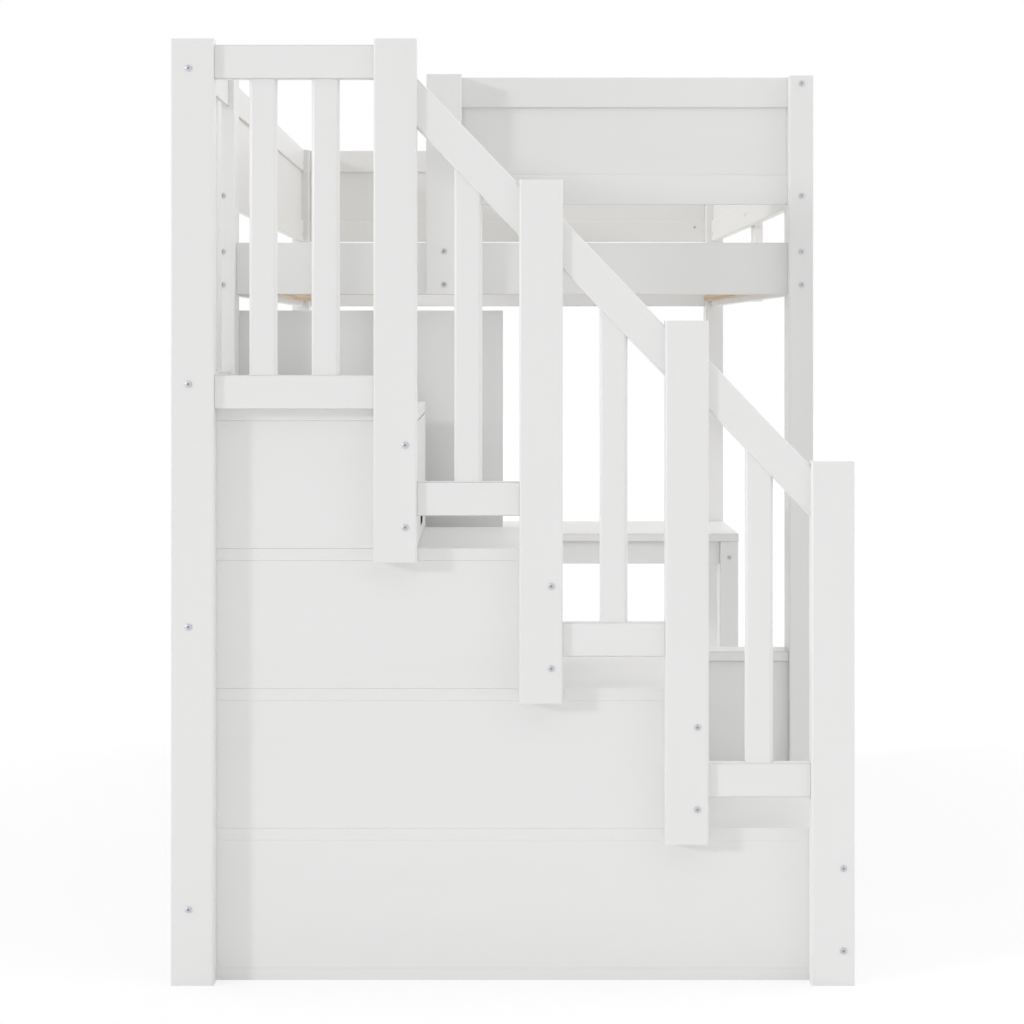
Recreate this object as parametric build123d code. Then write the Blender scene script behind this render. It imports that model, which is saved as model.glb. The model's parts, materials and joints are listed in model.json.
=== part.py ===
from build123d import *
from collections import namedtuple
import os

# Loft bed with a storage staircase across its near end, a wardrobe and a desk below.
# While it is laid out, X = 0 is the middle of the bed's width, Y = 0 the front of the
# near posts and Z = 0 the floor. Every piece is moved together at the end, so that the
# origin is on the floor under the middle of the whole outline.
# +X is the open long side, +Y runs from the staircase to the far end, +Z is up.

# Bed frame
bed_width = 1450.0
bed_length = 2019.0
bed_height = 2016.3
post_width = 58.0
post_depth = 88.0
post_round = 3.0
rail_thickness = 22.0
rail_edge = 1.5
side_rail_height = 125.5
guard_gap = 92.5
guard_height = 307.8
guard_top_rail_height = 73.0
guard_bottom_rail_height = 70.5
guard_panel_thickness = 9.0
groove_depth = 9.0
groove_clearance = 0.3
entry_gap = 461.0
entry_post_width = 85.0
middle_upright_width = 86.0
middle_upright_thickness = 24.0

# Mattress base
ledger_above_rail = 17.5
ledger_height = 19.0
ledger_width = 25.0
slat_count = 14
slat_width = 70.0
slat_thickness = 18.0
slat_end_gap = 1.0
slat_edge = 1.5

# Low end panel behind the staircase
end_cap_top = 629.8
end_cap_thickness = 24.5
end_cap_setback = 12.0
end_cap_edge = 2.0
end_panel_setback = 20.0
end_panel_thickness = 18.0
end_panel_floor_gap = 60.0

# Wardrobe under the bed
wardrobe_below_rail = 38.0
wardrobe_depth = 669.6
wardrobe_width = 800.0
wardrobe_inset = 34.0
wardrobe_board = 18.0
wardrobe_back_board = 9.0
wardrobe_floor_height = 60.0
wardrobe_plinth_setback = 40.0
wardrobe_shelf_height = 400.0
wardrobe_shelf_door_gap = 5.0
hanging_rod_radius = 12.5
hanging_rod_drop = 70.0
rod_socket_radius = 20.0
rod_socket_thickness = 6.0
rod_seat_clearance = 0.3
door_thickness = 18.0
door_gap = 2.5
door_edge_round = 8.9
door_slot_length = 110.0
door_slot_width = 32.0
door_slot_from_edge = 45.0
door_slot_height = 950.0
pivot_radius = 3.0
pivot_length = 14.0
pivot_clearance = 0.3

# Desk at the far end
desk_height = 768.4
desk_depth = 432.0
desk_top_thickness = 25.5
desk_top_edge = 2.0
desk_overhang = 6.0
desk_apron_height = 71.0
desk_apron_setback = 10.0
desk_bolt_above_apron = 21.0

# Storage staircase
stair_right_overhang = 4.5
stair_left_overhang = 10.0
stair_depth = 495.0
platform_below_rail = 257.8
step_run = 312.5
step_count = 3
step_board = 25.5
step_nose_round = 3.0
side_board = 18.0
left_end_thickness = 25.0
stair_post_width = 92.5
stair_post_thickness = 40.0
stair_post_round = 4.0
stair_post_over_bed = 10.1
stair_rail_thickness = 28.0
stair_rail_height = 73.0
stair_rail_edge = 2.0
top_rail_drop = 11.4
step_rail_above_tread = 73.0
handrail_height = 108.8
handrail_start_drop = 82.0
handrail_end_drop = 10.3
handrail_round = 5.0
baluster_width = 60.0
baluster_thickness = 20.0
baluster_round = 8.0
baluster_spacing = 150.0

# Drawers, one under each step
drawer_front_thickness = 18.0
drawer_front_gap = 2.5
drawer_front_edge = 1.5
drawer_side_gap = 4.0
drawer_board = 12.0
drawer_box_height = 190.0
drawer_bottom_board = 6.0
drawer_bottom_up = 6.0
drawer_groove_depth = 6.0
drawer_groove_clearance = 0.3
drawer_back_gap = 1.0
bay_back_board = 12.0
bay_back_from_end = 16.0
runner_width = 20.0
runner_height = 10.0
runner_setback = 6.0
runner_clearance = 0.3
slot_length = 130.0
slot_height = 40.0
slot_above_tread = 30.0

# Bolts, of which only the heads show
bolt_head_radius = 7.0
bolt_head_height = 2.4
guard_bolt_from_edge = 19.0
rail_bolt_from_edge = 23.0
stair_bolt_from_edge = 24.6
stair_bolt_heights = (75.0, 251.0)
tall_post_bolt_heights = (163.0, 767.5)
low_rail_bolt_up = 54.0
top_rail_bolt_up = 21.0

# Sizes that follow from the ones above
half_width = bed_width / 2
post_center_x = half_width - post_width / 2
post_inner_x = half_width - post_width
post_center_y = post_depth / 2
far_post_y = bed_length - post_depth
long_rail_y = (post_depth, far_post_y)
guard_bottom = bed_height - guard_height
side_rail_top = guard_bottom - guard_gap
side_rail_bottom = side_rail_top - side_rail_height
rail_inner_x = post_center_x - rail_thickness / 2
guard_rail_z = ((bed_height - guard_top_rail_height, bed_height),
                (guard_bottom, guard_bottom + guard_bottom_rail_height))
guard_panel_z = (guard_rail_z[1][1] - groove_depth, guard_rail_z[0][0] + groove_depth)
entry_post_left = -post_inner_x + entry_gap
entry_post_back = post_center_y - rail_thickness / 2
entry_post_front = entry_post_back - post_width
slat_bottom = side_rail_bottom + ledger_above_rail + ledger_height
wardrobe_height = side_rail_bottom - wardrobe_below_rail
wardrobe_left = -half_width + wardrobe_inset
wardrobe_right = wardrobe_left + wardrobe_depth
wardrobe_near = post_depth
wardrobe_far = wardrobe_near + wardrobe_width
wardrobe_inner_y = (wardrobe_near + wardrobe_board, wardrobe_far - wardrobe_board)
wardrobe_floor_top = wardrobe_floor_height + wardrobe_board
wardrobe_ceiling = wardrobe_height - wardrobe_board
door_axis_x = wardrobe_right - door_thickness / 2
door_axis_inset = door_gap + door_thickness / 2
desk_near = far_post_y - desk_depth
desk_leg_y = (desk_near + desk_overhang, desk_near + desk_overhang + post_depth)
desk_leg_top = desk_height - desk_top_thickness
desk_apron_z = (desk_leg_top - desk_apron_height, desk_leg_top)
stair_right = half_width + stair_right_overhang
platform_end = stair_right - step_count * step_run
platform_top = side_rail_bottom - platform_below_rail
step_rise = (platform_top - step_board) / (step_count + 1)
left_end_center = -post_center_x
left_end_inner = left_end_center + left_end_thickness / 2
left_end_outer = left_end_center - left_end_thickness / 2
tall_post_left = -half_width - stair_left_overhang
tall_post_right = tall_post_left + stair_post_width
tall_post_height = bed_height + stair_post_over_bed
short_post_length = tall_post_height - step_count * step_rise
stair_post_y = (-stair_depth - stair_post_thickness, -stair_depth)
stair_rail_y = (-stair_depth - stair_rail_thickness, -stair_depth)
top_rail_z = (tall_post_height - top_rail_drop - stair_rail_height,
              tall_post_height - top_rail_drop)
low_rail_z = (platform_top, platform_top + stair_rail_height)
bay_y = (-stair_depth + side_board, -side_board)
drawer_box_length = (platform_end - drawer_front_thickness - drawer_back_gap
                     - bay_back_board - bay_back_from_end - left_end_inner)

Bolt = namedtuple("Bolt", "seat away")


def span(center, size):
    """The two ends of a size about its middle."""
    return (center - size / 2, center + size / 2)


def block(x, y, z):
    """A plain rectangular board between the given ends."""
    box = Box(x[1] - x[0], y[1] - y[0], z[1] - z[0])
    return Pos((x[0] + x[1]) / 2, (y[0] + y[1]) / 2, (z[0] + z[1]) / 2) * box


def rounded_board(x, y, z, along, radius):
    """A board whose four edges along one axis are rounded."""
    plain = block(x, y, z)
    return fillet(plain.edges().filter_by(along), radius)


def eased_board(x, y, z, along, width):
    """A board whose four edges along one axis have a small bevel."""
    plain = block(x, y, z)
    return chamfer(plain.edges().filter_by(along), width)


def rod(start, toward, length, radius):
    """A round bar from a point along a direction."""
    plane = Plane(origin=start, z_dir=toward)
    return plane * Cylinder(radius, length, align=(Align.CENTER, Align.CENTER, Align.MIN))


def side_outline(corners, y):
    """A solid with an outline drawn in X and Z, between two places in Y."""
    outline = make_face(Plane.XZ * Polyline(*corners, close=True))
    return Pos(0, y[0], 0) * extrude(outline, y[1] - y[0], dir=(0, 1, 0))


def round_slot(center, length, width, depth, along):
    """The cutter of a round-ended hand slot through a board that faces +X."""
    plane = Plane(origin=center, x_dir=along, z_dir=(1, 0, 0))
    return extrude(plane * SlotOverall(length, width), depth, both=True)


def mirrored(solid):
    """The same piece on the other side of the bed's middle."""
    return mirror(solid, Plane.YZ)


def bolt_head(bolt):
    """The low round head of a connector bolt, seated on the wood."""
    return rod(bolt.seat, bolt.away, bolt_head_height, bolt_head_radius)


def evenly_between(start, end, width, count):
    """The spans of pieces of one width, spread with equal gaps between two ends."""
    gap = (end - start - count * width) / (count + 1)
    lows = [start + gap + n * (width + gap) for n in range(count)]
    return [(low, low + width) for low in lows]


def baluster_spans(start, end):
    """Where the balusters stand between two posts."""
    count = max(1, round((end - start) / baluster_spacing))
    return evenly_between(start, end, baluster_width, count)


# Bolt places

def long_bolt_heights():
    """Heights of the bolts that hold the guards and the long rails at a corner."""
    return (bed_height - guard_bolt_from_edge,
            guard_bottom + guard_bolt_from_edge,
            side_rail_top - rail_bolt_from_edge,
            side_rail_bottom + rail_bolt_from_edge)


def behind_side_rail(x, z):
    """Whether the end of a rail of the staircase covers this place on a near post."""
    reach = bolt_head_radius
    covered = [low - reach < z < high + reach for low, high in (top_rail_z, low_rail_z)]
    return x < 0 and any(covered)


def bed_bolts():
    """Bolts through the posts into the long rails, and through the entry post."""
    bolts = []
    for x in (-post_center_x, post_center_x):
        for z in long_bolt_heights():
            bolts.append(Bolt((x, bed_length, z), (0, 1, 0)))
            if not behind_side_rail(x, z):
                bolts.append(Bolt((x, 0, z), (0, -1, 0)))
    x = entry_post_left + entry_post_width / 2
    for z in long_bolt_heights()[2:]:
        bolts.append(Bolt((x, entry_post_front, z), (0, -1, 0)))
    return bolts


def desk_bolts():
    """Bolts through the desk legs into the ends of the side aprons."""
    z = desk_apron_z[0] + desk_bolt_above_apron
    return [Bolt((x, desk_leg_y[0], z), (0, -1, 0))
            for x in (-post_center_x, post_center_x)]


def stair_bolts():
    """Bolts through the staircase posts into its rails and side panels."""
    tall_heights = tall_post_bolt_heights + (low_rail_z[0] + low_rail_bolt_up,
                                             top_rail_z[0] + top_rail_bolt_up)
    places = [(left_end_center, z) for z in tall_heights]
    for n in range(step_count + 1):
        x = platform_end + n * step_run - stair_bolt_from_edge
        bottom = (step_count - n) * step_rise
        places += [(x, bottom + height) for height in stair_bolt_heights]
    return [Bolt((x, stair_post_y[0], z), (0, -1, 0)) for x, z in places]


# Bed frame

def bed_posts():
    """The four corner posts."""
    right = (post_inner_x, half_width)
    near = rounded_board(right, (0, post_depth), (0, bed_height), Axis.Z, post_round)
    far = rounded_board(right, (far_post_y, bed_length), (0, bed_height), Axis.Z, post_round)
    return {
        "near_right_post": near,
        "near_left_post": mirrored(near),
        "far_right_post": far,
        "far_left_post": mirrored(far),
    }


def bed_rails():
    """The long rails and the end rails that tie the posts below the mattress."""
    z = (side_rail_bottom, side_rail_top)
    side = eased_board(span(post_center_x, rail_thickness), long_rail_y, z, Axis.Y, rail_edge)
    across = (-post_inner_x, post_inner_x)
    near_y = span(post_center_y, rail_thickness)
    far_y = span(bed_length - post_center_y, rail_thickness)
    return {
        "right_side_rail": side,
        "left_side_rail": mirrored(side),
        "near_end_rail": eased_board(across, near_y, z, Axis.X, rail_edge),
        "far_end_rail": eased_board(across, far_y, z, Axis.X, rail_edge),
    }


def long_guard():
    """Top rail, bottom rail and thin panel of a guard along the bed."""
    x = span(post_center_x, rail_thickness)
    slack = groove_clearance
    groove = block(span(post_center_x, guard_panel_thickness + 2 * slack), long_rail_y,
                   guard_panel_z)
    panel = block(span(post_center_x, guard_panel_thickness), long_rail_y,
                  (guard_panel_z[0] + slack, guard_panel_z[1] - slack))
    rails = [eased_board(x, long_rail_y, z, Axis.Y, rail_edge) - groove for z in guard_rail_z]
    return rails, panel


def end_guard(x, y_center):
    """Top rail, bottom rail and thin panel of a guard across an end of the bed."""
    y = span(y_center, rail_thickness)
    slack = groove_clearance
    groove = block(x, span(y_center, guard_panel_thickness + 2 * slack), guard_panel_z)
    panel = block(x, span(y_center, guard_panel_thickness),
                  (guard_panel_z[0] + slack, guard_panel_z[1] - slack))
    rails = [eased_board(x, y, z, Axis.X, rail_edge) - groove for z in guard_rail_z]
    return rails, panel


def bed_guards():
    """The framed guards on all four sides, with the gap for climbing in."""
    right_rails, right_panel = long_guard()
    near_rails, near_panel = end_guard((entry_post_left, post_inner_x), post_center_y)
    far_rails, far_panel = end_guard((-post_inner_x, post_inner_x), bed_length - post_center_y)
    return {
        "right_guard_rails": right_rails,
        "right_guard_panel": right_panel,
        "left_guard_rails": [mirrored(rail) for rail in right_rails],
        "left_guard_panel": mirrored(right_panel),
        "near_guard_rails": near_rails,
        "near_guard_panel": near_panel,
        "far_guard_rails": far_rails,
        "far_guard_panel": far_panel,
    }


def guard_uprights():
    """The post beside the entry gap, and the board that stiffens the open long side."""
    z = (side_rail_bottom, bed_height)
    entry_x = (entry_post_left, entry_post_left + entry_post_width)
    entry_y = (entry_post_front, entry_post_back)
    outer_face = post_center_x + rail_thickness / 2
    middle_x = (outer_face, outer_face + middle_upright_thickness)
    middle_y = span(bed_length / 2, middle_upright_width)
    return {
        "entry_post": rounded_board(entry_x, entry_y, z, Axis.Z, post_round),
        "middle_upright": rounded_board(middle_x, middle_y, z, Axis.Z, post_round),
    }


def mattress_base():
    """Two ledgers on the long rails and the slats that lie on them."""
    ledger_z = (slat_bottom - ledger_height, slat_bottom)
    ledger_x = (rail_inner_x - ledger_width, rail_inner_x)
    ledger = eased_board(ledger_x, long_rail_y, ledger_z, Axis.Y, slat_edge)
    slat_x = (-rail_inner_x + slat_end_gap, rail_inner_x - slat_end_gap)
    slat_z = (slat_bottom, slat_bottom + slat_thickness)
    places = evenly_between(long_rail_y[0], long_rail_y[1], slat_width, slat_count)
    slats = [eased_board(slat_x, y, slat_z, Axis.X, slat_edge) for y in places]
    return {"slat_ledgers": [ledger, mirrored(ledger)], "bed_slats": slats}


def low_end_panel():
    """The capped panel between the near posts, behind the staircase."""
    across = (-post_inner_x, post_inner_x)
    cap_z = (end_cap_top - end_cap_thickness, end_cap_top)
    panel_y = (end_panel_setback, end_panel_setback + end_panel_thickness)
    cap = eased_board(across, (end_cap_setback, post_depth), cap_z, Axis.X, end_cap_edge)
    return {
        "end_panel_cap": cap,
        "end_panel": block(across, panel_y, (end_panel_floor_gap, cap_z[0])),
    }


# Wardrobe

def wardrobe_case():
    """Sides, back, top, floor, shelf and plinth of the wardrobe."""
    x = (wardrobe_left, wardrobe_right)
    inside_x = (wardrobe_left + wardrobe_back_board, wardrobe_right)
    z = (0, wardrobe_height)
    near_y = (wardrobe_near, wardrobe_inner_y[0])
    far_y = (wardrobe_inner_y[1], wardrobe_far)
    shelf_x = (inside_x[0], wardrobe_right - door_thickness - wardrobe_shelf_door_gap)
    shelf_z = (wardrobe_shelf_height, wardrobe_shelf_height + wardrobe_board)
    plinth_right = wardrobe_right - wardrobe_plinth_setback
    return {
        "wardrobe_near_side": block(x, near_y, z),
        "wardrobe_far_side": block(x, far_y, z),
        "wardrobe_back": block((x[0], inside_x[0]), wardrobe_inner_y, (0, wardrobe_ceiling)),
        "wardrobe_top": block(x, wardrobe_inner_y, (wardrobe_ceiling, wardrobe_height)),
        "wardrobe_shelves": [
            block(inside_x, wardrobe_inner_y, (wardrobe_floor_height, wardrobe_floor_top)),
            block(shelf_x, wardrobe_inner_y, shelf_z),
        ],
        "wardrobe_plinth": block((plinth_right - wardrobe_board, plinth_right),
                                 wardrobe_inner_y, (0, wardrobe_floor_height)),
    }


def wardrobe_rod():
    """The hanging rod and the two cups that hold its ends."""
    x = (wardrobe_left + wardrobe_right) / 2
    z = wardrobe_ceiling - hanging_rod_drop
    near, far = wardrobe_inner_y
    bar = rod((x, near + rod_seat_clearance, z), (0, 1, 0),
              far - near - 2 * rod_seat_clearance, hanging_rod_radius)
    bore_radius = hanging_rod_radius + rod_seat_clearance
    bore = rod((x, near, z), (0, 1, 0), far - near, bore_radius)
    sockets = [rod((x, near, z), (0, 1, 0), rod_socket_thickness, rod_socket_radius) - bore,
               rod((x, far, z), (0, -1, 0), rod_socket_thickness, rod_socket_radius) - bore]
    return {"hanging_rod": bar, "rod_sockets": sockets}


def pivot_pin(y, z, up):
    """A pin that stands on the case and reaches into the door."""
    toward = (0, 0, 1) if up else (0, 0, -1)
    return rod((door_axis_x, y, z), toward, door_gap + pivot_length, pivot_radius)


def door_solid(y, axis_y, slot_y):
    """An inset door with a rounded pivot edge, two pivot holes and a hand slot."""
    x = (wardrobe_right - door_thickness, wardrobe_right)
    z = (wardrobe_floor_top + door_gap, wardrobe_ceiling - door_gap)
    plain = block(x, y, z)
    upright = plain.edges().filter_by(Axis.Z)
    by_axis = upright.sort_by(lambda edge: abs(edge.center().Y - axis_y))
    door = fillet(by_axis[:2], door_edge_round)
    radius = pivot_radius + pivot_clearance
    depth = pivot_length + pivot_clearance
    door -= rod((door_axis_x, axis_y, z[0]), (0, 0, 1), depth, radius)
    door -= rod((door_axis_x, axis_y, z[1]), (0, 0, -1), depth, radius)
    center = (door_axis_x, slot_y, door_slot_height)
    return door - round_slot(center, door_slot_length, door_slot_width,
                             door_thickness, (0, 0, 1))


def wardrobe_doors():
    """The pair of doors and the pins they turn on."""
    near, far = wardrobe_inner_y
    middle = (near + far) / 2
    near_axis = near + door_axis_inset
    far_axis = far - door_axis_inset
    meeting = door_gap / 2
    slot_off = meeting + door_slot_from_edge
    pins = [pivot_pin(y, z, up) for y in (near_axis, far_axis)
            for z, up in ((wardrobe_floor_top, True), (wardrobe_ceiling, False))]
    return {
        "wardrobe_near_door": door_solid((near + door_gap, middle - meeting),
                                         near_axis, middle - slot_off),
        "wardrobe_far_door": door_solid((middle + meeting, far - door_gap),
                                        far_axis, middle + slot_off),
        "door_pivot_pins": pins,
    }


# Desk

def desk():
    """The desk top, its two legs and the aprons under it."""
    leg = rounded_board((post_inner_x, half_width), desk_leg_y, (0, desk_leg_top),
                        Axis.Z, post_round)
    near_y = desk_leg_y[0] + desk_apron_setback
    near = block((-post_inner_x, post_inner_x), (near_y, near_y + rail_thickness), desk_apron_z)
    side = block(span(post_center_x, rail_thickness), (desk_leg_y[1], far_post_y), desk_apron_z)
    back = block((-rail_inner_x, rail_inner_x), (far_post_y - rail_thickness, far_post_y),
                 desk_apron_z)
    top = eased_board((-half_width, half_width), (desk_near, far_post_y),
                      (desk_leg_top, desk_height), Axis.X, desk_top_edge)
    return {
        "desk_top": top,
        "desk_legs": [leg, mirrored(leg)],
        "desk_aprons": [near, side, mirrored(side), back],
    }


# Staircase

def tread_end(level):
    """How far the board at a level reaches; the base board is level 0."""
    return platform_end + min(step_count, step_count + 1 - level) * step_run


def bay_z(level):
    """Floor and ceiling of the drawer bay above the board at a level."""
    return (level * step_rise + step_board, (level + 1) * step_rise)


def stair_boards():
    """The base board, the treads and the platform, with rounded noses."""
    boards = {}
    for level in range(step_count + 2):
        x = (left_end_inner, tread_end(level))
        name = f"stair_tread_{level}"
        if level == 0:
            name = "stair_base_board"
        if level == step_count + 1:
            name = "stair_platform"
            x = (left_end_outer, tread_end(level))
        plain = block(x, (-stair_depth, 0), (level * step_rise, level * step_rise + step_board))
        nose = plain.faces().sort_by(Axis.X)[-1].edges().filter_by(Axis.Y)
        boards[name] = fillet(nose, step_nose_round)
    return boards


def stair_panels():
    """Side panels of each storey, the left end panel and the drawer bay backs."""
    sides = []
    backs = []
    for level in range(step_count + 1):
        riser = tread_end(level + 1)
        z = bay_z(level)
        sides.append(block((left_end_inner, riser), (-stair_depth, bay_y[0]), z))
        sides.append(block((left_end_inner, riser), (bay_y[1], 0), z))
        front = riser - drawer_front_thickness - drawer_box_length - drawer_back_gap
        backs.append(block((front - bay_back_board, front), bay_y, z))
    end = block((left_end_outer, left_end_inner), (-stair_depth, 0),
                (0, (step_count + 1) * step_rise))
    return {
        "stair_side_panels": sides,
        "stair_end_panel": end,
        "drawer_bay_backs": backs,
    }


def stair_posts():
    """The tall post at the left end and a shorter one at the end of each storey."""
    tall = rounded_board((tall_post_left, tall_post_right), stair_post_y,
                         (0, tall_post_height), Axis.Z, stair_post_round)
    short = []
    for n in range(step_count + 1):
        right = platform_end + n * step_run
        bottom = (step_count - n) * step_rise
        short.append(rounded_board((right - stair_post_width, right), stair_post_y,
                                   (bottom, bottom + short_post_length),
                                   Axis.Z, stair_post_round))
    return {"stair_tall_post": tall, "stair_short_posts": short}


def step_gap(n):
    """The stretch between two neighbouring short posts."""
    left = platform_end + n * step_run
    return (left, left + step_run - stair_post_width)


def stair_rails():
    """Rails round the platform and a low rail over each step."""
    near_x = (tall_post_right, platform_end - stair_post_width)
    side_x = span(left_end_center, stair_rail_thickness)
    rails = []
    for z in (top_rail_z, low_rail_z):
        rails.append(eased_board(near_x, stair_rail_y, z, Axis.X, stair_rail_edge))
        rails.append(eased_board(side_x, (-stair_depth, 0), z, Axis.Y, stair_rail_edge))
    for n in range(step_count):
        bottom = (step_count - n) * step_rise + step_board + step_rail_above_tread
        z = (bottom, bottom + stair_rail_height)
        rails.append(eased_board(step_gap(n), stair_rail_y, z, Axis.X, stair_rail_edge))
    return {"stair_rails": rails}


def handrail_top(n, x):
    """Height of a sloping handrail's upper edge at a place along it."""
    left, right = step_gap(n)
    post_top = tall_post_height - n * step_rise
    start = post_top - handrail_start_drop
    end = post_top - step_rise - handrail_end_drop
    return start + (end - start) * (x - left) / (right - left)


def handrails():
    """A sloping handrail from each short post down to the next."""
    rails = []
    for n in range(step_count):
        left, right = step_gap(n)
        corners = [(left, handrail_top(n, left)), (right, handrail_top(n, right)),
                   (right, handrail_top(n, right) - handrail_height),
                   (left, handrail_top(n, left) - handrail_height)]
        plain = side_outline(corners, stair_rail_y)
        long_edges = [edge for edge in plain.edges()
                      if abs(edge.tangent_at(0).X) > 0.1 and abs(edge.tangent_at(0).Z) > 0.1]
        rails.append(fillet(long_edges, handrail_round))
    return {"handrails": rails}


def balusters():
    """Upright bars with rounded edges between the lower and the upper rails."""
    depth = span(sum(stair_rail_y) / 2, baluster_thickness)
    full_z = (low_rail_z[1], top_rail_z[0])
    bars = [rounded_board(x, depth, full_z, Axis.Z, baluster_round)
            for x in baluster_spans(tall_post_right, platform_end - stair_post_width)]
    side_x = span(left_end_center, baluster_thickness)
    bars += [rounded_board(side_x, y, full_z, Axis.Z, baluster_round)
             for y in baluster_spans(-stair_depth, 0)]
    for n in range(step_count):
        bottom = ((step_count - n) * step_rise + step_board
                  + step_rail_above_tread + stair_rail_height)
        for left, right in baluster_spans(*step_gap(n)):
            corners = [(left, bottom), (right, bottom),
                       (right, handrail_top(n, right) - handrail_height),
                       (left, handrail_top(n, left) - handrail_height)]
            plain = side_outline(corners, depth)
            bars.append(fillet(plain.edges().filter_by(Axis.Z), baluster_round))
    return {"balusters": bars}


# Drawers

def drawer_front(level):
    """The drawer's front board with its hand slot."""
    riser = tread_end(level + 1)
    floor, ceiling = bay_z(level)
    front = eased_board((riser - drawer_front_thickness, riser),
                        (bay_y[0] + drawer_front_gap, bay_y[1] - drawer_front_gap),
                        (floor + drawer_front_gap, ceiling - drawer_front_gap),
                        Axis.Y, drawer_front_edge)
    center = (riser, sum(bay_y) / 2, floor + slot_above_tread + slot_height / 2)
    return front - round_slot(center, slot_length, slot_height,
                              drawer_front_thickness, (0, 1, 0))


def drawer_box(level):
    """Two grooved sides, the back and the bottom panel of a drawer."""
    front = tread_end(level + 1) - drawer_front_thickness
    x = (front - drawer_box_length, front)
    outer_y = (bay_y[0] + drawer_side_gap, bay_y[1] - drawer_side_gap)
    inner_y = (outer_y[0] + drawer_board, outer_y[1] - drawer_board)
    bottom = bay_z(level)[0] + runner_height + runner_clearance
    z = (bottom, bottom + drawer_box_height)
    slack = drawer_groove_clearance
    panel_z = (bottom + drawer_bottom_up, bottom + drawer_bottom_up + drawer_bottom_board)
    groove = block(x, (inner_y[0] - drawer_groove_depth, inner_y[1] + drawer_groove_depth),
                   (panel_z[0] - slack, panel_z[1] + slack))
    back_x = (x[0], x[0] + drawer_board)
    panel_y = (inner_y[0] - drawer_groove_depth + slack, inner_y[1] + drawer_groove_depth - slack)
    return [
        block(x, (outer_y[0], inner_y[0]), z) - groove,
        block(x, (inner_y[1], outer_y[1]), z) - groove,
        block(back_x, inner_y, z),
        block((back_x[1], x[1]), panel_y, panel_z),
    ]


def drawer_runners():
    """The bearers on each bay's floor that the drawer sides slide along."""
    runners = []
    for level in range(step_count + 1):
        right = tread_end(level + 1) - drawer_front_thickness - runner_setback
        left = (tread_end(level + 1) - drawer_front_thickness
                - drawer_box_length - drawer_back_gap)
        floor = bay_z(level)[0]
        z = (floor, floor + runner_height)
        runners.append(block((left, right), (bay_y[0], bay_y[0] + runner_width), z))
        runners.append(block((left, right), (bay_y[1] - runner_width, bay_y[1]), z))
    return {"drawer_runners": runners}


def drawers():
    """A front and a box for each bay, counted from the floor up."""
    pieces = {}
    for level in range(step_count + 1):
        pieces[f"drawer_{level + 1}_front"] = drawer_front(level)
        pieces[f"drawer_{level + 1}_box"] = drawer_box(level)
    return pieces


def all_nodes():
    """Every node of the loft bed, by name, as one solid or a list of solids."""
    nodes = {}
    for group in (bed_posts(), bed_rails(), bed_guards(), guard_uprights(),
                  mattress_base(), low_end_panel(), wardrobe_case(), wardrobe_rod(),
                  wardrobe_doors(), desk(), stair_boards(), stair_panels(),
                  stair_posts(), stair_rails(), handrails(), balusters(),
                  drawer_runners(), drawers()):
        nodes.update(group)
    bolts = bed_bolts() + desk_bolts() + stair_bolts()
    nodes["bolt_heads"] = [bolt_head(bolt) for bolt in bolts]
    return nodes


def solids_of(piece):
    """The separate solids of a node."""
    parts = piece if isinstance(piece, list) else [piece]
    return [solid for part in parts for solid in part.solids()]


def export_all(nodes):
    """Move the origin under the middle of the outline and write one file a node."""
    os.makedirs("parts", exist_ok=True)
    solids = {name: solids_of(piece) for name, piece in nodes.items()}
    boxes = [solid.bounding_box() for group in solids.values() for solid in group]
    middle_x = (min(box.min.X for box in boxes) + max(box.max.X for box in boxes)) / 2
    middle_y = (min(box.min.Y for box in boxes) + max(box.max.Y for box in boxes)) / 2
    for name, group in solids.items():
        moved = [Pos(-middle_x, -middle_y, 0) * solid for solid in group]
        shape = moved[0] if len(moved) == 1 else Compound(children=moved)
        export_step(shape, f"parts/{name}.step")


export_all(all_nodes())
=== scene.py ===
import bmesh
import bpy
import json
import math
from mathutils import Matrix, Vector


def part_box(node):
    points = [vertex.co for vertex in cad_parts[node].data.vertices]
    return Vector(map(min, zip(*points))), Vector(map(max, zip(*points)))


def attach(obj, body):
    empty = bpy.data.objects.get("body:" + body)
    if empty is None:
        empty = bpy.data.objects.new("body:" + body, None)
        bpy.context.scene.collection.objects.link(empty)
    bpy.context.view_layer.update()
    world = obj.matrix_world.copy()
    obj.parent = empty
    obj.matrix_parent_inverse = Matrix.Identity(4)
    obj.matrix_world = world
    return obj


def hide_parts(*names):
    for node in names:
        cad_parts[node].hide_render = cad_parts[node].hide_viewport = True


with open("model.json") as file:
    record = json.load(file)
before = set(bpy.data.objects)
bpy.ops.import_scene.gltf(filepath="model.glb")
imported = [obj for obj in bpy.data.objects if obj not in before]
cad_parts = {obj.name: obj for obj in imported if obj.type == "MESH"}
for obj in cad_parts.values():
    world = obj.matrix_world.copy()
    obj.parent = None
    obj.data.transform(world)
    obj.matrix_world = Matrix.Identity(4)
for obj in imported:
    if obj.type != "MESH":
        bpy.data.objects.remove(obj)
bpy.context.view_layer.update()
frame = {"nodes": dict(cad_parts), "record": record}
nodes = frame["nodes"]

# Outside faces and middle of the bed's four posts, in metres
POSTS_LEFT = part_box("near_left_post")[0].x
POSTS_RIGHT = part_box("near_right_post")[1].x
POSTS_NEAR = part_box("near_left_post")[0].y
POSTS_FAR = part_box("far_left_post")[1].y
BED_MIDDLE = ((POSTS_LEFT + POSTS_RIGHT) / 2, (POSTS_NEAR + POSTS_FAR) / 2)

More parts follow.
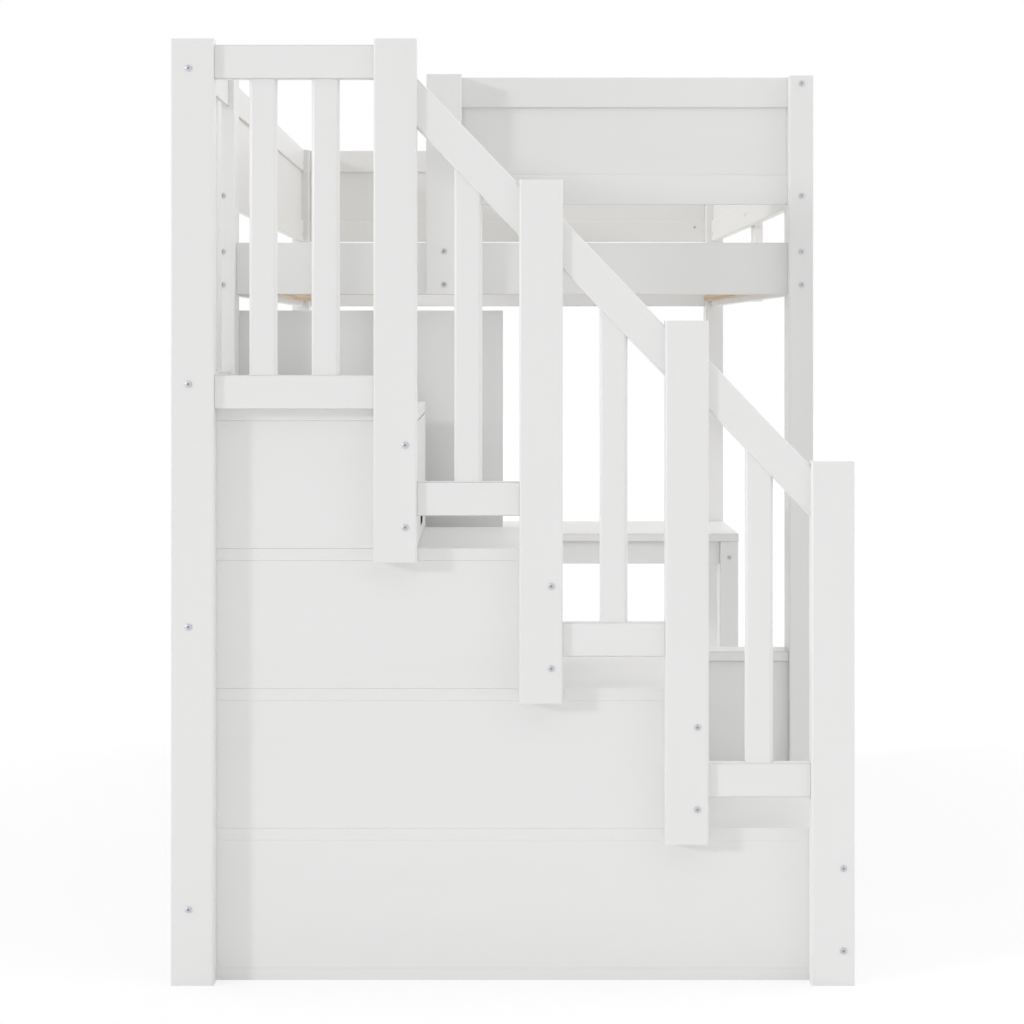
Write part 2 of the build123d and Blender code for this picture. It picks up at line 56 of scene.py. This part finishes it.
# Camera, in metres. The photograph looks level along the bed, from in front of the staircase.
CAMERA_DISTANCE = 4.852
CAMERA_SIDE = -0.0373
CAMERA_HEIGHT = 1.3893
SENSOR_WIDTH = 36.0
LENS = 70.96
PICTURE_SIDE = 1024
HORIZON_PIXEL = 336.3
VANISHING_PIXEL = 496.5

# Light: how strong the sky is towards each side, and a distant lamp at the left
SKY_LEFT = 0.95
SKY_RIGHT = 1.68
SKY_FRONT = 0.1
SKY_ABOVE = 1.4
SKY_SIDES = [("X", -1.0, SKY_LEFT), ("X", 1.0, SKY_RIGHT), ("Y", -1.0, SKY_FRONT), ("Z", 1.0, SKY_ABOVE)]
SKY_BEHIND = 1.0
LAMP_FROM = (-2.0, -1.0, 0.62)
LAMP_DISTANCE = 8.0
LAMP_SPREAD = 6.0
LAMP_STRENGTH = 0.78

# Floor: how much of it is plain white to the camera, near the object and past a distance
FLOOR_HALF = 30.0
FLOOR_GREY = 0.9
FLOOR_ROUGHNESS = 0.9
FLOOR_GLOW = 1.04
FLOOR_GLOW_NEAR = 0.6
FLOOR_FADE_START = 1.8
FLOOR_FADE_END = 4.5

# Bolt heads, in metres. The profile goes from the seat to the socket, by radius and height.
HEAD_PROFILE = [(0.0070, 0.0), (0.0070, 0.0012), (0.0066, 0.0019), (0.0056, 0.0024), (0.0036, 0.0022)]
SOCKET_RADIUS = 0.0029
SOCKET_DEPTH = 0.0018
SOCKET_CORNERS = 6
RING_POINTS = 24

# Barrel nuts, in metres
NUT_RADIUS = 0.005
NUT_LIP_RADIUS = NUT_RADIUS * 0.92
NUT_LIP_HEIGHT = 0.0005
NUT_SLOT_HALF_WIDTH = 0.0006
NUT_SLOT_HALF_LENGTH = NUT_RADIUS * 0.75
NUT_SLOT_HEIGHT = 0.0007
NUT_FROM_END = 0.035

# Heights of bolts and nuts, as shares of the height of the rail that they hold
END_RAIL_ROWS = (0.42, 0.75)
SIDE_RAIL_ROWS = (0.3, 0.7)
END_GUARD_NUT_ROWS = (0.7,)
SIDE_GUARD_NUT_ROWS = (0.35,)
GUARD_BOLT_ROWS = (0.5,)

# Other places of fittings, in metres
RAIL_MIN_HEIGHT = 0.1
UPRIGHT_BOLT_OFFSET = 0.022
STAIR_POST_BOLT_DROPS = (0.03, 0.055)
SAME_FACE = 0.001

# Wood's edges and a drawer's hand slot, in metres
EDGE_BEVEL = 0.0016
BEVEL_SEGMENTS = 2
BEVEL_ANGLE = math.radians(40)
WELD_DISTANCE = 0.00001
POINT_DIGITS = 5
SLOT_FROM_EDGE = 0.01

# Colours
WHITE = (0.82, 0.82, 0.815)
PINE_EARLY = (0.7, 0.55, 0.39)
PINE_LATE = (0.58, 0.42, 0.27)
PALE_EARLY = (0.8, 0.765, 0.71)
PALE_LATE = (0.73, 0.68, 0.61)
PINE_TINT = (0.96, 0.95, 0.93)
NO_TINT = (1.0, 1.0, 1.0)
BIRCH_DARK = (0.62, 0.47, 0.3)
BIRCH_LIGHT = (0.74, 0.6, 0.42)
BOLT_STEEL = (0.6, 0.625, 0.66)
# Darker steel painted as shade in bolt sockets and nut driver slots
SOCKET_SHADE_STEEL = (0.34, 0.35, 0.37)
PIVOT_STEEL = (0.5, 0.5, 0.5)
CHROME = (0.75, 0.76, 0.78)
# Painted shade for the inside of the drawers' hand slots
SLOT_SHADE_DARK = (0.02, 0.02, 0.022)
SLOT_SHADE_LIGHT = (0.035, 0.035, 0.037)

AXES = "xyz"
WOODS = ("white_lacquer", "natural_pine", "drawer_birch")


def new_material(name):
    """A node material, its node tree and its Principled shader."""
    material = bpy.data.materials.new(name)
    material.use_nodes = True
    tree = material.node_tree
    shader = tree.nodes["Principled BSDF"]
    return material, tree, shader


def plain(tree):
    """Object coordinates as they are."""
    return tree.nodes.new("ShaderNodeTexCoord").outputs["Object"]


def stretched(tree, along, scale_along, scale_across):
    """Object coordinates stretched along one axis, for wood grain."""
    mapping = tree.nodes.new("ShaderNodeMapping")
    scale = [scale_across] * 3
    scale[AXES.index(along)] = scale_along
    mapping.inputs["Scale"].default_value = scale
    tree.links.new(plain(tree), mapping.inputs["Vector"])
    return mapping.outputs["Vector"]


def noise(tree, vector, detail, scale=1.0, roughness=0.5):
    """A noise texture's value."""
    node = tree.nodes.new("ShaderNodeTexNoise")
    node.inputs["Scale"].default_value = scale
    node.inputs["Detail"].default_value = detail
    node.inputs["Roughness"].default_value = roughness
    tree.links.new(vector, node.inputs["Vector"])
    return node.outputs["Fac"]


def blend(tree, value, start, first, end, second):
    """A colour that goes from one to another as a value goes from start to end."""
    node = tree.nodes.new("ShaderNodeValToRGB")
    stops = ((start, first), (end, second))
    for element, (position, colour) in zip(node.color_ramp.elements, stops):
        element.position = position
        element.color = (*colour, 1)
    tree.links.new(value, node.inputs["Fac"])
    return node.outputs["Color"]


def set_roughness(tree, shader, value, low, high):
    """Feeds the shader a roughness between two limits, from a value between 0 and 1."""
    node = tree.nodes.new("ShaderNodeMapRange")
    node.inputs["To Min"].default_value = low
    node.inputs["To Max"].default_value = high
    tree.links.new(value, node.inputs["Value"])
    tree.links.new(node.outputs["Result"], shader.inputs["Roughness"])


def set_bump(tree, shader, height, strength, distance):
    """Feeds a height to the shader's normal."""
    node = tree.nodes.new("ShaderNodeBump")
    node.inputs["Strength"].default_value = strength
    node.inputs["Distance"].default_value = distance
    tree.links.new(height, node.inputs["Height"])
    tree.links.new(node.outputs["Normal"], shader.inputs["Normal"])


def shade(colour, factor):
    """A colour made lighter or darker."""
    return tuple(min(1.0, part * factor) for part in colour)


def white_lacquer(along):
    """Satin white lacquer over close-grained wood, with the grain along one axis."""
    material, tree, shader = new_material(f"white_lacquer_{along}")
    fine = noise(tree, stretched(tree, along, scale_along=6, scale_across=160), detail=6, roughness=0.6)
    broad = noise(tree, stretched(tree, along, scale_along=0.6, scale_across=5), detail=3)
    colour = blend(tree, broad, 0.3, shade(WHITE, 0.985), 0.7, shade(WHITE, 1.01))
    tree.links.new(colour, shader.inputs["Base Color"])
    set_roughness(tree, shader, fine, low=0.36, high=0.5)
    shader.inputs["Coat Weight"].default_value = 0.15
    shader.inputs["Coat Roughness"].default_value = 0.3
    set_bump(tree, shader, fine, strength=0.25, distance=0.0004)
    return material


def growth_rings(tree, vector, early, late):
    """Pine's rings, drawn out along the board, in the colours of early and late wood."""
    wave = tree.nodes.new("ShaderNodeTexWave")
    wave.wave_type = "RINGS"
    wave.inputs["Scale"].default_value = 1.4
    wave.inputs["Distortion"].default_value = 5.0
    wave.inputs["Detail"].default_value = 3.0
    tree.links.new(vector, wave.inputs["Vector"])
    return blend(tree, wave.outputs["Fac"], 0.2, early, 0.8, late)


def pine(name, along, early, late):
    """Planed pine, with the grain along one axis."""
    material, tree, shader = new_material(f"{name}_{along}")
    vector = stretched(tree, along, scale_along=0.9, scale_across=14)
    rings = growth_rings(tree, vector, early, late)
    tint = blend(tree, noise(tree, vector, detail=4), 0.3, PINE_TINT, 0.7, NO_TINT)
    mix = tree.nodes.new("ShaderNodeMix")
    mix.data_type = "RGBA"
    mix.blend_type = "MULTIPLY"
    mix.inputs["Factor"].default_value = 1.0
    tree.links.new(rings, mix.inputs["A"])
    tree.links.new(tint, mix.inputs["B"])
    tree.links.new(mix.outputs["Result"], shader.inputs["Base Color"])
    fine = noise(tree, stretched(tree, along, scale_along=8, scale_across=220), detail=5)
    set_roughness(tree, shader, fine, low=0.5, high=0.65)
    set_bump(tree, shader, fine, strength=0.3, distance=0.0004)
    return material


def birch_ply(along):
    """Clear-coated birch plywood for the drawer boxes, with the grain along one axis."""
    material, tree, shader = new_material(f"drawer_birch_{along}")
    flecks = noise(tree, stretched(tree, along, scale_along=4, scale_across=60), detail=6, roughness=0.6)
    colour = blend(tree, flecks, 0.25, BIRCH_DARK, 0.75, BIRCH_LIGHT)
    tree.links.new(colour, shader.inputs["Base Color"])
    shader.inputs["Roughness"].default_value = 0.45
    set_bump(tree, shader, flecks, strength=0.15, distance=0.0003)
    return material


def metal(name, colour, low, high, speckle_scale):
    """A satin metal with fine uneven gloss, from a low to a high roughness."""
    material, tree, shader = new_material(name)
    speckle = noise(tree, plain(tree), detail=3, scale=speckle_scale)
    tint = blend(tree, speckle, 0.3, shade(colour, 0.92), 0.7, colour)
    tree.links.new(tint, shader.inputs["Base Color"])
    set_roughness(tree, shader, speckle, low, high)
    shader.inputs["Metallic"].default_value = 1.0
    set_bump(tree, shader, speckle, strength=0.05, distance=0.0002)
    return material


def painted_slot_shade():
    """Painted shade for the cut faces inside the hand slots: matt near-black charcoal with a little
    unevenness.
    """
    material, tree, shader = new_material("painted_slot_shade")
    patches = noise(tree, plain(tree), detail=4, scale=90)
    colour = blend(tree, patches, 0.3, SLOT_SHADE_DARK, 0.7, SLOT_SHADE_LIGHT)
    tree.links.new(colour, shader.inputs["Base Color"])
    set_roughness(tree, shader, patches, low=0.5, high=0.7)
    set_bump(tree, shader, patches, strength=0.1, distance=0.0003)
    return material


# Each wood has one material for each direction of its grain
FINISHES = {
    "white_lacquer": [white_lacquer(along) for along in AXES],
    "natural_pine": [pine("natural_pine", along, PINE_EARLY, PINE_LATE) for along in AXES],
    "drawer_birch": [birch_ply(along) for along in AXES],
    "bolt_steel": [metal("bolt_steel", BOLT_STEEL, low=0.3, high=0.42, speckle_scale=400)],
    "pivot_steel": [metal("pivot_steel", PIVOT_STEEL, low=0.3, high=0.4, speckle_scale=300)],
    "rod_chrome": [metal("rod_chrome", CHROME, low=0.06, high=0.12, speckle_scale=200)],
}
SLAT_PINE = [pine("pale_pine", along, PALE_EARLY, PALE_LATE) for along in AXES]
# Darker steel as painted shade for socket floors and nut slots
SOCKET_SHADE_MATERIAL = metal("socket_painted_shade", SOCKET_SHADE_STEEL, low=0.35, high=0.5, speckle_scale=300)
# Charcoal that paints the shade inside the drawers' hand slots
SLOT_SHADE_MATERIAL = painted_slot_shade()

# Fittings have steel first and, after it, a darker steel that paints shade into the sockets and driver
# slots
FITTING_MATERIALS = FINISHES["bolt_steel"] + [SOCKET_SHADE_MATERIAL]
PAINTED_SHADE_INDEX = 1


def loose_pieces(mesh):
    """The points of a mesh, and its polygons grouped by the separate solids that they belong to."""
    owner = {}

    def find(point):
        while owner[point] != point:
            owner[point] = owner[owner[point]]
            point = owner[point]
        return point

    points = [tuple(round(part, POINT_DIGITS) for part in vertex.co) for vertex in mesh.vertices]
    for point in points:
        owner.setdefault(point, point)
    for polygon in mesh.polygons:
        first = find(points[polygon.vertices[0]])
        for vertex in polygon.vertices[1:]:
            owner[find(points[vertex])] = first
    groups = {}
    for polygon in mesh.polygons:
        groups.setdefault(find(points[polygon.vertices[0]]), []).append(polygon)
    return points, list(groups.values())


def group_box(points, group):
    """The lowest and highest corners of a group of polygons."""
    used = [points[vertex] for polygon in group for vertex in polygon.vertices]
    low = [min(point[axis] for point in used) for axis in range(3)]
    high = [max(point[axis] for point in used) for axis in range(3)]
    return low, high


def solid_boxes(node):
    """The lowest and highest corners of each solid of a node."""
    points, groups = loose_pieces(nodes[node].data)
    return [group_box(points, group) for group in groups]


def paint_boards(node, finish):
    """Gives each board of a node the grain that runs along its longest side."""
    mesh = nodes[node].data
    mesh.materials.clear()
    for material in finish:
        mesh.materials.append(material)
    if len(finish) == 1:
        return
    points, groups = loose_pieces(mesh)
    for group in groups:
        low, high = group_box(points, group)
        sizes = [high[axis] - low[axis] for axis in range(3)]
        longest = sizes.index(max(sizes))
        for polygon in group:
            polygon.material_index = longest


def soften_edges(node):
    """Joins the mesh's seams and gives its sharp edges a small bevel."""
    piece = nodes[node]
    weld = piece.modifiers.new("weld", "WELD")
    weld.merge_threshold = WELD_DISTANCE
    bevel = piece.modifiers.new("bevel", "BEVEL")
    bevel.width = EDGE_BEVEL
    bevel.segments = BEVEL_SEGMENTS
    bevel.limit_method = "ANGLE"
    bevel.angle_limit = BEVEL_ANGLE
    bevel.harden_normals = True


def paint_shade_into_hand_slot(node):
    """Gives the cut faces inside a drawer's hand slot a painted shade of dark charcoal, standing in for
    the hollow's shadow.
    """
    low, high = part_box(node)
    mesh = nodes[node].data
    mesh.materials.append(SLOT_SHADE_MATERIAL)
    for polygon in mesh.polygons:
        center = polygon.center
        inside = all(low[axis] + SLOT_FROM_EDGE < center[axis] < high[axis] - SLOT_FROM_EDGE
                     for axis in (1, 2))
        faces_sideways = abs(polygon.normal.x) < 0.5
        # The slot's inner walls get the painted shade
        if inside and faces_sideways:
            polygon.material_index = len(mesh.materials) - 1


def finish_nodes():
    """Paints every CAD node, softens the wood's edges and paints shade into the hand slots."""
    for part in frame["record"]["subparts"]:
        node = part["node"]
        slot = part["material_slot"]
        paint_boards(node, SLAT_PINE if node == "bed_slats" else FINISHES[slot])
        if slot in WOODS:
            soften_edges(node)
        if node.startswith("drawer_") and node.endswith("_front"):
            paint_shade_into_hand_slot(node)


def axes_of(out):
    """Sideways, upward and outward directions for a fitting on an upright face."""
    out = Vector(out)
    up = Vector((0, 0, 1))
    return up.cross(out), up, out


def ring(bm, place, axes, radius, height, corners=0):
    """A ring of points round a fitting's axis, round or with a number of corners."""
    side, up, out = axes
    points = []
    for step in range(RING_POINTS):
        angle = 2 * math.pi * step / RING_POINTS
        reach = radius
        if corners:
            half = math.pi / corners
            reach = radius * math.cos(half) / math.cos(angle % (2 * half) - half)
        offset = side * (reach * math.cos(angle)) + up * (reach * math.sin(angle)) + out * height
        points.append(bm.verts.new(place + offset))
    return points


def join_rings(bm, first, second):
    """Faces between two rings."""
    for step in range(RING_POINTS):
        after = (step + 1) % RING_POINTS
        bm.faces.new((first[step], first[after], second[after], second[step]))


def add_bolt(bm, place, out):
    """A low domed head with a six-sided socket, seated at a place and facing outwards."""
    axes = axes_of(out)
    top = HEAD_PROFILE[-1][1]
    rings = [ring(bm, place, axes, radius, height) for radius, height in HEAD_PROFILE]
    rings.append(ring(bm, place, axes, SOCKET_RADIUS, top, SOCKET_CORNERS))
    rings.append(ring(bm, place, axes, SOCKET_RADIUS, top - SOCKET_DEPTH, SOCKET_CORNERS))
    for first, second in zip(rings, rings[1:]):
        join_rings(bm, first, second)
    bm.faces.new(rings[0][::-1])
    # The socket floor gets the darker steel as painted shade
    shaded_socket_floor = bm.faces.new(rings[-1])
    shaded_socket_floor.material_index = PAINTED_SHADE_INDEX


def add_nut(bm, place, out):
    """The round end of a barrel nut, just proud of the wood, with its driver slot drawn as a flat dark
    quad of painted shade.
    """
    axes = axes_of(out)
    side, up, out = axes
    outer = ring(bm, place, axes, NUT_RADIUS, 0.0)
    lip = ring(bm, place, axes, NUT_LIP_RADIUS, NUT_LIP_HEIGHT)
    join_rings(bm, outer, lip)
    bm.faces.new(lip)
    width = side * NUT_SLOT_HALF_WIDTH
    length = up * NUT_SLOT_HALF_LENGTH
    corners = (width + length, length - width, -width - length, width - length)
    # The driver slot is a dark quad of painted shade, not a cut
    slot = bm.faces.new([bm.verts.new(place + corner + out * NUT_SLOT_HEIGHT) for corner in corners])
    slot.material_index = PAINTED_SHADE_INDEX


def cad_bolts():
    """Seat and direction of every bolt head in the CAD."""
    boxes = solid_boxes("bolt_heads")
    far_end = max(high[1] for low, high in boxes)
    bolts = []
    for low, high in boxes:
        faces_far = high[1] > far_end - SAME_FACE
        y = low[1] if faces_far else high[1]
        place = Vector(((low[0] + high[0]) / 2, y, (low[2] + high[2]) / 2))
        bolts.append((place, (0, 1, 0) if faces_far else (0, -1, 0)))
    return bolts


def side_bolts():
    """Bolts through the outer side faces of the posts, and of the tall stair post."""
    bolts = []
    for node, rows in (("near_end_rail", END_RAIL_ROWS), ("far_end_rail", END_RAIL_ROWS),
                       ("near_guard_rails", GUARD_BOLT_ROWS), ("far_guard_rails", GUARD_BOLT_ROWS)):
        for low, high in solid_boxes(node):
            y = (low[1] + high[1]) / 2
            for row in rows:
                z = low[2] + row * (high[2] - low[2])
                bolts.append((Vector((POSTS_RIGHT, y, z)), (1, 0, 0)))
                if node != "near_guard_rails":
                    bolts.append((Vector((POSTS_LEFT, y, z)), (-1, 0, 0)))
    low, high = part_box("stair_tall_post")
    for drop in STAIR_POST_BOLT_DROPS:
        place = Vector((high.x, (low.y + high.y) / 2, high.z - drop))
        bolts.append((place, (1, 0, 0)))
    return bolts


def nut_rows(low, high, along):
    """Heights of the nuts of a rail or a guard rail, as shares of its own height."""
    is_end = along == 0
    if high[2] - low[2] > RAIL_MIN_HEIGHT:
        return END_RAIL_ROWS if is_end else SIDE_RAIL_ROWS
    return END_GUARD_NUT_ROWS if is_end else SIDE_GUARD_NUT_ROWS


def rail_nuts():
    """Barrel nuts near the ends of the rails, on the faces towards the mattress."""
    nuts = []
    for node in ("near_guard_rails", "far_guard_rails", "left_guard_rails", "right_guard_rails",
                 "near_end_rail", "far_end_rail", "left_side_rail", "right_side_rail"):
        for low, high in solid_boxes(node):
            along = 0 if high[0] - low[0] > high[1] - low[1] else 1
            across = 1 - along
            inwards = 1 if (low[across] + high[across]) / 2 < BED_MIDDLE[across] else -1
            out = [0, 0, 0]
            out[across] = inwards
            for end in (low[along] + NUT_FROM_END, high[along] - NUT_FROM_END):
                for row in nut_rows(low, high, along):
                    place = Vector((0, 0, low[2] + row * (high[2] - low[2])))
                    place[along] = end
                    place[across] = high[across] if inwards > 0 else low[across]
                    nuts.append((place, out))
    return nuts


def upright_fixings():
    """Bolts on the outside of the middle upright, and their nuts inside the right-hand rails."""
    low, high = solid_boxes("middle_upright")[0]
    middle = (low[1] + high[1]) / 2
    bolts = []
    nuts = []
    for node in ("right_guard_rails", "right_side_rail"):
        for rail_low, rail_high in solid_boxes(node):
            z = (rail_low[2] + rail_high[2]) / 2
            for offset in (-UPRIGHT_BOLT_OFFSET, UPRIGHT_BOLT_OFFSET):
                bolts.append((Vector((high[0], middle + offset, z)), (1, 0, 0)))
                nuts.append((Vector((rail_low[0], middle + offset, z)), (-1, 0, 0)))
    return bolts, nuts


def fitting(name, bm, replaced=()):
    """Makes an object of a finished set of fittings."""
    bm.normal_update()
    mesh = bpy.data.meshes.new(name)
    bm.to_mesh(mesh)
    bm.free()
    for material in FITTING_MATERIALS:
        mesh.materials.append(material)
    piece = bpy.data.objects.new(name, mesh)
    bpy.context.scene.collection.objects.link(piece)
    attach(piece, "frame")
    if replaced:
        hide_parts(*replaced)


def make_fittings():
    """The bolt heads and barrel nuts, in the detail that the CAD leaves out."""
    upright_bolts, upright_nuts = upright_fixings()
    heads = bmesh.new()
    for place, out in cad_bolts() + side_bolts() + upright_bolts:
        add_bolt(heads, place, out)
    fitting("bolts", heads, ("bolt_heads",))
    nuts = bmesh.new()
    for place, out in rail_nuts() + upright_nuts:
        add_nut(nuts, place, out)
    fitting("barrel_nuts", nuts)


def make_camera():
    """A level camera with the photograph's vanishing point."""
    camera = bpy.data.objects.new("camera", bpy.data.cameras.new("camera"))
    bpy.context.scene.collection.objects.link(camera)
    camera.location = (BED_MIDDLE[0] + CAMERA_SIDE, POSTS_NEAR - CAMERA_DISTANCE, CAMERA_HEIGHT)
    camera.rotation_euler = (math.radians(90), 0, 0)
    camera.data.sensor_width = SENSOR_WIDTH
    camera.data.lens = LENS
    camera.data.shift_x = (PICTURE_SIDE / 2 - VANISHING_PIXEL) / PICTURE_SIDE
    camera.data.shift_y = (HORIZON_PIXEL - PICTURE_SIDE / 2) / PICTURE_SIDE
    bpy.context.scene.camera = camera


def make_lamp():
    """A distant lamp with nearly parallel rays, from the left and a little in front."""
    lamp = bpy.data.lights.new("left_sun", "SUN")
    lamp.angle = math.radians(LAMP_SPREAD)
    lamp.energy = LAMP_STRENGTH
    holder = bpy.data.objects.new("left_sun", lamp)
    bpy.context.scene.collection.objects.link(holder)
    place = Vector(LAMP_FROM).normalized() * LAMP_DISTANCE
    holder.location = place
    holder.rotation_euler = (-place).to_track_quat("-Z", "Y").to_euler()


def math_node(tree, operation, first, second):
    """A math node over two sockets or numbers."""
    node = tree.nodes.new("ShaderNodeMath")
    node.operation = operation
    for slot, value in enumerate((first, second)):
        if isinstance(value, (int, float)):
            node.inputs[slot].default_value = value
        else:
            tree.links.new(value, node.inputs[slot])
    return node.outputs[0]


def mix_shaders(tree, amount, first, second, output):
    """Mixes two shaders by an amount and feeds an output's surface."""
    mix = tree.nodes.new("ShaderNodeMixShader")
    tree.links.new(amount, mix.inputs["Fac"])
    tree.links.new(first, mix.inputs[1])
    tree.links.new(second, mix.inputs[2])
    tree.links.new(mix.outputs[0], tree.nodes[output].inputs["Surface"])


def make_world():
    """Soft daylight that varies with direction, and plain white where the camera looks past."""
    world = bpy.data.worlds.new("world")
    bpy.context.scene.world = world
    world.use_nodes = True
    tree = world.node_tree
    sky = tree.nodes["Background"]
    sky.inputs["Color"].default_value = (1, 1, 1, 1)
    direction = tree.nodes.new("ShaderNodeSeparateXYZ")
    tree.links.new(tree.nodes.new("ShaderNodeTexCoord").outputs["Generated"], direction.inputs[0])
    total = 0.0
    for axis, sign, strength in SKY_SIDES:
        side = math_node(tree, "MULTIPLY", direction.outputs[axis], sign)
        side = math_node(tree, "MAXIMUM", side, 0.0)
        side = math_node(tree, "MULTIPLY", side, side)
        side = math_node(tree, "MULTIPLY", side, strength)
        total = math_node(tree, "ADD", side, total)
    tree.links.new(total, sky.inputs["Strength"])
    white = tree.nodes.new("ShaderNodeBackground")
    white.inputs["Color"].default_value = (1, 1, 1, 1)
    white.inputs["Strength"].default_value = SKY_BEHIND
    path = tree.nodes.new("ShaderNodeLightPath")
    seen = math_node(tree, "MAXIMUM", path.outputs["Is Camera Ray"], path.outputs["Is Glossy Ray"])
    mix_shaders(tree, seen, sky.outputs[0], white.outputs[0], "World Output")


def floor_material():
    """Pale matt floor, more and more of it plain white to the camera away from the object."""
    material, tree, shader = new_material("floor")
    shader.inputs["Base Color"].default_value = (FLOOR_GREY, FLOOR_GREY, FLOOR_GREY, 1)
    shader.inputs["Roughness"].default_value = FLOOR_ROUGHNESS
    shader.inputs["Specular IOR Level"].default_value = 0.0
    glow = tree.nodes.new("ShaderNodeEmission")
    glow.inputs["Color"].default_value = (1, 1, 1, 1)
    glow.inputs["Strength"].default_value = FLOOR_GLOW
    distance = tree.nodes.new("ShaderNodeVectorMath")
    distance.operation = "LENGTH"
    tree.links.new(plain(tree), distance.inputs[0])
    fade = tree.nodes.new("ShaderNodeMapRange")
    fade.inputs["From Min"].default_value = FLOOR_FADE_START
    fade.inputs["From Max"].default_value = FLOOR_FADE_END
    fade.inputs["To Min"].default_value = FLOOR_GLOW_NEAR
    fade.inputs["To Max"].default_value = 1.0
    tree.links.new(distance.outputs["Value"], fade.inputs["Value"])
    path = tree.nodes.new("ShaderNodeLightPath")
    amount = math_node(tree, "MULTIPLY", path.outputs["Is Camera Ray"], fade.outputs["Result"])
    mix_shaders(tree, amount, shader.outputs[0], glow.outputs[0], "Material Output")
    return material


def make_floor():
    """A wide floor that keeps the object's shadow and fades into the background."""
    mesh = bpy.data.meshes.new("floor")
    corners = [(-FLOOR_HALF, -FLOOR_HALF, 0), (FLOOR_HALF, -FLOOR_HALF, 0),
               (FLOOR_HALF, FLOOR_HALF, 0), (-FLOOR_HALF, FLOOR_HALF, 0)]
    mesh.from_pydata(corners, [], [(0, 1, 2, 3)])
    mesh.materials.append(floor_material())
    floor = bpy.data.objects.new("floor", mesh)
    bpy.context.scene.collection.objects.link(floor)


finish_nodes()
make_fittings()
make_camera()
make_world()
make_floor()
make_lamp()
bpy.context.scene.view_settings.view_transform = "Standard"
